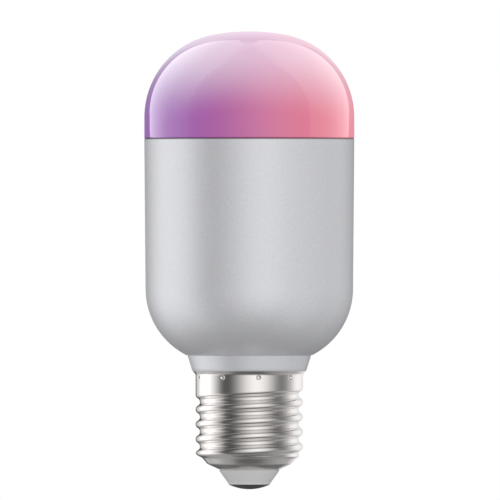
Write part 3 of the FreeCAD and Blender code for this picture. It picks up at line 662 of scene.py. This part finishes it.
# angles in degrees: azimuth 0 is the camera's side and 90 is +X, elevation 0 is the horizon
studio = {
    "floorRadius": 0.6,
    "floorGlow": 0.5,
    "floorDrop": 0.012,
    "groundGlow": 0.18,
    "skyGlow": 0.09,
    "paleFrom": 0.87,                    # sine of the elevation where the sky stops changing
    "panelEdge": 0.03,                   # how softly a leaning panel edge ends, in metres
    "cameraLens": 1500,
    "sensorWidth": 36,
    "frameWidth": 0.1224,
    "aimHeight": 0.05857,
    "aimSide": 0.00017,
}
floorLook = {"color": (0.86, 0.86, 0.86), "roughness": 0.7, "grainSize": 60, "speckle": 0.01}
# soft boxes in the sky: strength, azimuth, half width, its softness, lowest and highest elevation
softBoxes = {
    "left": (1.35, -103.5, 28, 21, -36, 45),
    "front": (1.32, 16, 32, 32, -36, 52),
    "right": (1.14, 116, 18, 44, -23, 39),
}
# light panels that only some pieces pick up, in metres. Each faces the axis from its azimuth. Its near and
# far edges lie to the camera's side and to the back. The glow turns from near to far between the two turn
# places, goes over to another glow between the two other heights, and that one dies out between the two
# fade heights. The far edge starts at foot and leans out by lean for each metre of height.
panels = {
    "domeLeft": {"azimuth": -121, "near": 1.235, "far": 1.38, "low": -0.5, "high": 6.0,
                 "nearGlow": 0.15, "farGlow": 2.2, "turnStart": -0.6, "turnEnd": 0.45,
                 "otherGlow": 0.75, "otherStart": 0.3, "otherEnd": 2.0, "fadeStart": 2.2, "fadeEnd": 6.0,
                 "foot": 0.33, "lean": 0.56},
    "domeRight": {"azimuth": 121, "near": 1.235, "far": 1.38, "low": -0.5, "high": 6.0,
                  "nearGlow": 0.50, "farGlow": 1.2, "turnStart": -0.6, "turnEnd": 0.4,
                  "otherGlow": 0.75, "otherStart": 0.3, "otherEnd": 2.0, "fadeStart": 2.2, "fadeEnd": 6.0,
                  "foot": 0.33, "lean": 0.56},
    "domeBack": {"azimuth": 180, "near": 0.3, "far": 0.3, "low": 0.24, "high": 0.90, "nearGlow": 0.26},
    "domeCrown": {"azimuth": 180, "near": 0.09, "far": 0.09, "low": 1.5, "high": 6.0,
                  "nearGlow": 0.45, "otherGlow": 0.0, "otherStart": 1.6, "otherEnd": 5.0},
    "bodyLeft": {"azimuth": -68, "near": 0.23, "far": 0.23, "low": -1.3, "high": 1.0, "nearGlow": 0.5},
    "bodyRight": {"azimuth": 70, "near": 0.325, "far": 0.325, "low": -1.3, "high": 1.0, "nearGlow": 0.36},
    "capLeft": {"azimuth": -119.5, "near": 0.566, "far": 0.80, "low": -0.75, "high": 0.7,
                "nearGlow": 0.10, "farGlow": 0.55, "turnStart": -0.566, "turnEnd": 0.0,
                "otherGlow": 0.0, "otherStart": -0.25, "otherEnd": -0.7},
    "capRight": {"azimuth": 119.5, "near": 0.566, "far": 1.5, "low": -0.75, "high": 0.7,
                 "nearGlow": 0.05, "farGlow": 0.70, "turnStart": -0.5, "turnEnd": 0.4,
                 "otherGlow": 0.0, "otherStart": -0.25, "otherEnd": -0.7},
    "capFootLeft": {"azimuth": -112, "near": 1.0, "far": 1.4, "low": -12.0, "high": -0.2,
                    "nearGlow": 0.05, "otherGlow": 0.26, "otherStart": -4.0, "otherEnd": -1.3,
                    "fadeStart": -0.7, "fadeEnd": -0.25},
    "capFootRight": {"azimuth": 112, "near": 1.0, "far": 1.4, "low": -12.0, "high": -0.2,
                     "nearGlow": 0.05, "otherGlow": 0.19, "otherStart": -4.0, "otherEnd": -1.0,
                     "fadeStart": -0.7, "fadeEnd": -0.25},
    "capUnder": {"azimuth": 180, "near": 1.2, "far": 1.2, "low": -8.0, "high": -2.5, "nearGlow": 0.11},
    "insulatorFront": {"azimuth": 10, "near": 0.5, "far": 0.5, "low": -1.3, "high": -0.1, "nearGlow": 0.5},
}
# what a panel does where its entry leaves a number out
plainPanel = {"turnStart": -1.0, "turnEnd": 1.0, "otherGlow": 0.0, "otherStart": 20.0,
              "otherEnd": 21.0, "fadeStart": 20.0, "fadeEnd": 21.0, "foot": 20.0, "lean": 0.0}


def buildSoftBox():
    # how much of a soft box lies in a direction of the sky
    inputs = [("Direction", "NodeSocketVector", (0, 0, 0))]
    for label in ("Azimuth", "Half Width", "Softness", "Low", "High"):
        inputs.append((label, "NodeSocketFloat", 0))
    group, given, result = makeGroup("softBox", inputs, [("Glow", "NodeSocketFloat")])
    get = given.outputs
    way = splitNode(group, get["Direction"])
    toward = mathNode(group, "MULTIPLY", way["Y"], -1.0)
    turn = mathNode(group, "DEGREES", mathNode(group, "ARCTAN2", way["X"], toward))
    away = mathNode(group, "SUBTRACT", turn, get["Azimuth"])
    away = mathNode(group, "ABSOLUTE", mathNode(group, "PINGPONG", away, 180.0))
    rise = mathNode(group, "DEGREES", mathNode(group, "ARCSINE", way["Z"]))

    def edges(centre):
        # where the soft edge at a place begins and ends
        return [mathNode(group, kind, get[centre], get["Softness"]) for kind in ("SUBTRACT", "ADD")]

    inside, outside = edges("Half Width")
    across = rangeNode(group, away, outside, inside)
    fromLow = rangeNode(group, rise, *edges("Low"))
    belowHigh, aboveHigh = edges("High")
    toHigh = rangeNode(group, rise, aboveHigh, belowHigh)
    upright = mathNode(group, "MULTIPLY", fromLow, toHigh)
    group.links.new(mathNode(group, "MULTIPLY", across, upright), result.inputs["Glow"])
    return group


def buildSky():
    world = bpy.data.worlds.new("studio")
    scene.world = world
    world.use_nodes = True
    tree = world.node_tree
    nodes, links = tree.nodes, tree.links
    nodes.clear()
    way = nodes.new("ShaderNodeTexCoord").outputs["Generated"]
    total = rangeNode(tree, splitNode(tree, way)["Z"], -studio["paleFrom"], studio["paleFrom"],
                      studio["groundGlow"], studio["skyGlow"])
    softBox = buildSoftBox()
    for strength, azimuth, halfWidth, softness, lowest, highest in softBoxes.values():
        box = groupNode(tree, softBox, {"Direction": way, "Azimuth": azimuth, "Half Width": halfWidth,
                                        "Softness": softness, "Low": lowest, "High": highest})
        total = mathNode(tree, "ADD", total, mathNode(tree, "MULTIPLY", box["Glow"], strength))
    lit = nodes.new("ShaderNodeBackground")
    links.new(total, lit.inputs["Strength"])
    seen = nodes.new("ShaderNodeBackground")
    seen.inputs["Color"].default_value = (1, 1, 1, 1)
    ray = nodes.new("ShaderNodeLightPath")
    pick = nodes.new("ShaderNodeMixShader")
    links.new(ray.outputs["Is Camera Ray"], pick.inputs[0])
    links.new(lit.outputs[0], pick.inputs[1])
    links.new(seen.outputs[0], pick.inputs[2])
    result = nodes.new("ShaderNodeOutputWorld")
    links.new(pick.outputs[0], result.inputs["Surface"])


def buildPanelGlow():
    # brightness of a light panel at a place outwards and upwards on it, in metres
    numbers = ("Out", "Up", "Near Glow", "Far Glow", "Turn Start", "Turn End", "Other Glow", "Other Start",
               "Other End", "Fade Start", "Fade End", "Foot", "Lean")
    group, given, result = makeGroup("panelGlow", [(n, "NodeSocketFloat", 0) for n in numbers],
                                     [("Glow", "NodeSocketFloat")])
    get = given.outputs
    side = rangeNode(group, get["Out"], get["Turn Start"], get["Turn End"], get["Near Glow"], get["Far Glow"])
    share = rangeNode(group, get["Up"], get["Other Start"], get["Other End"])
    other = rangeNode(group, get["Up"], get["Fade Start"], get["Fade End"], get["Other Glow"], 0.0)
    change = mathNode(group, "MULTIPLY", mathNode(group, "SUBTRACT", other, side), share)
    both = mathNode(group, "ADD", side, change)
    edge = mathNode(group, "ADD", get["Foot"], mathNode(group, "MULTIPLY", get["Lean"], get["Up"]))
    left = mathNode(group, "SUBTRACT", edge, get["Out"])
    inside = rangeNode(group, left, 0.0, studio["panelEdge"], soft="LINEAR")
    group.links.new(mathNode(group, "MULTIPLY", both, inside), result.inputs["Glow"])
    return group


def buildPanel(name, look, glow, receivers):
    # an upright area light that faces the axis
    look = {**plainPanel, "farGlow": look["nearGlow"], **look}
    width, height = look["near"] + look["far"], look["high"] - look["low"]
    lamp = bpy.data.lights.new(name, "AREA")
    lamp.shape = "RECTANGLE"
    lamp.size, lamp.size_y = width, height
    lamp.energy = math.pi * width * height
    lamp.use_nodes = True
    tree = lamp.node_tree
    place = splitNode(tree, tree.nodes.new("ShaderNodeNewGeometry").outputs["Parametric"])
    # the lamp's own X runs to the back on the +X side of the bulb and to the camera on the other
    side = 1 if look["azimuth"] > 0 else -1
    out = mathNode(tree, "MULTIPLY", place["X"], side * width)
    out = mathNode(tree, "ADD", out, -look["near"] if side > 0 else look["far"])
    up = mathNode(tree, "ADD", mathNode(tree, "MULTIPLY", place["Y"], height), look["low"])
    effect = groupNode(tree, glow, {
        "Out": out, "Up": up, "Near Glow": look["nearGlow"], "Far Glow": look["farGlow"],
        "Turn Start": look["turnStart"], "Turn End": look["turnEnd"], "Other Glow": look["otherGlow"],
        "Other Start": look["otherStart"], "Other End": look["otherEnd"], "Fade Start": look["fadeStart"],
        "Fade End": look["fadeEnd"], "Foot": look["foot"], "Lean": look["lean"]})
    tree.links.new(effect["Glow"], tree.nodes["Emission"].inputs["Strength"])
    turn = math.radians(look["azimuth"])
    shift = side * (look["far"] - look["near"]) / 2
    piece = bpy.data.objects.new(name, lamp)
    piece.location = (math.sin(turn) + shift * math.cos(turn), -math.cos(turn) + shift * math.sin(turn),
                      (look["low"] + look["high"]) / 2)
    piece.rotation_euler = (math.radians(90), 0, turn)
    piece.visible_camera = False
    scene.collection.objects.link(piece)
    piece.light_linking.receiver_collection = receivers


def buildStudio():
    bpy.ops.mesh.primitive_circle_add(vertices=96, radius=studio["floorRadius"], fill_type="NGON",
                                      location=(0, 0, -studio["floorDrop"]))
    floor = bpy.context.object
    floor.name = "floor"
    paper = grainMaterial("floorPaper", floorLook)
    backlight = paper.node_tree.nodes["Principled BSDF"]
    backlight.inputs["Emission Color"].default_value = (1, 1, 1, 1)
    backlight.inputs["Emission Strength"].default_value = studio["floorGlow"]
    floor.data.materials.append(paper)
    floor.visible_glossy = False
    floor.visible_diffuse = False
    floor.visible_shadow = False
    buildSky()
    receivers = {"dome": ["diffuserDome"], "body": ["bodyShell", "neckCollar"],
                 "cap": ["screwShell", "centreContact"], "insulator": ["capInsulator"]}
    for group, names in receivers.items():
        receivers[group] = bpy.data.collections.new(group + "Receivers")
        for name in names:
            receivers[group].objects.link(bpy.data.objects[name])
    glow = buildPanelGlow()
    for name, look in panels.items():
        group = next(group for group in receivers if name.startswith(group))
        buildPanel(name, look, glow, receivers[group])
    scene.view_settings.view_transform = "Standard"


def buildCamera():
    lens = bpy.data.cameras.new("camera")
    lens.lens = studio["cameraLens"]
    lens.sensor_width = studio["sensorWidth"]
    distance = studio["frameWidth"] * lens.lens / lens.sensor_width
    lens.clip_start, lens.clip_end = 0.1, 50
    camera = bpy.data.objects.new("camera", lens)
    camera.location = (studio["aimSide"], -distance, studio["aimHeight"])
    camera.rotation_euler = (math.radians(90), 0, 0)
    scene.collection.objects.link(camera)
    scene.camera = camera


buildDome()
print("dome done")
buildBody(grainMaterial("bodyPaint", bodyLook, seamed=True))
print("body done")
buildNeck(grainMaterial("neckPaint", neckLook))
buildShell()
buildInsulator()
buildContact()
print("cap done")
dressInside()
buildStudio()
buildCamera()
print("studio done")
